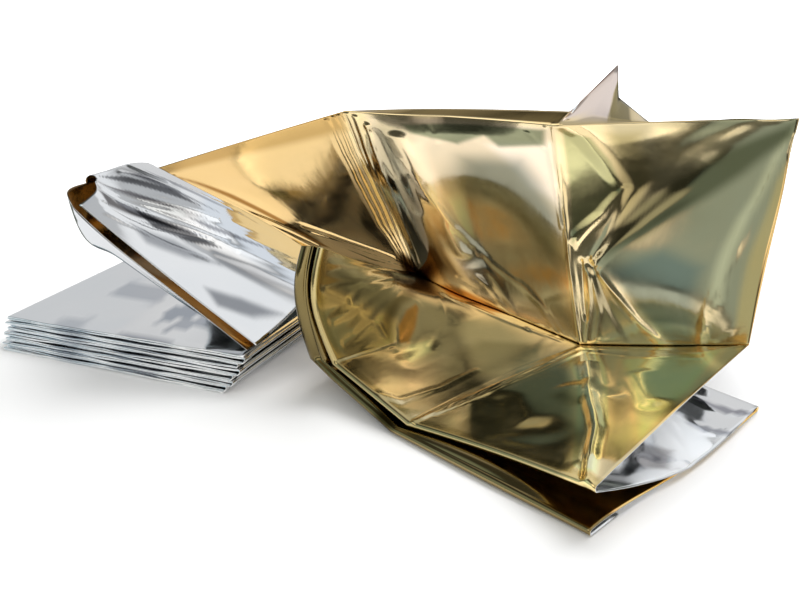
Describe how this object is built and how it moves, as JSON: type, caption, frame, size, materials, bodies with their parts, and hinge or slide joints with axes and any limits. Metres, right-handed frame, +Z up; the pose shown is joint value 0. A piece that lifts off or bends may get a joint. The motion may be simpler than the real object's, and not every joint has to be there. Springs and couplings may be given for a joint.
{
  "type": "emergency foil blanket",
  "caption": "Emergency foil blanket, gold one side and silver the other, half pulled out of its folded stack into an open crumpled canopy.",
  "frame": {"origin": "centre of the bounding box's base, on the surface the blanket rests on", "axes": "+Z up; the folded stack is on the -X side, the open canopy on the +X side, and its gold face looks towards -Y"},
  "size_m": [0.3593, 0.2953, 0.1314],
  "materials": {
    "gold_silver_film": "mirror-bright metallised film, gold on one side and silver on the other"
  },
  "bodies": {
    "root": {"foil_blanket": "gold_silver_film"}
  },
  "joints": []
}
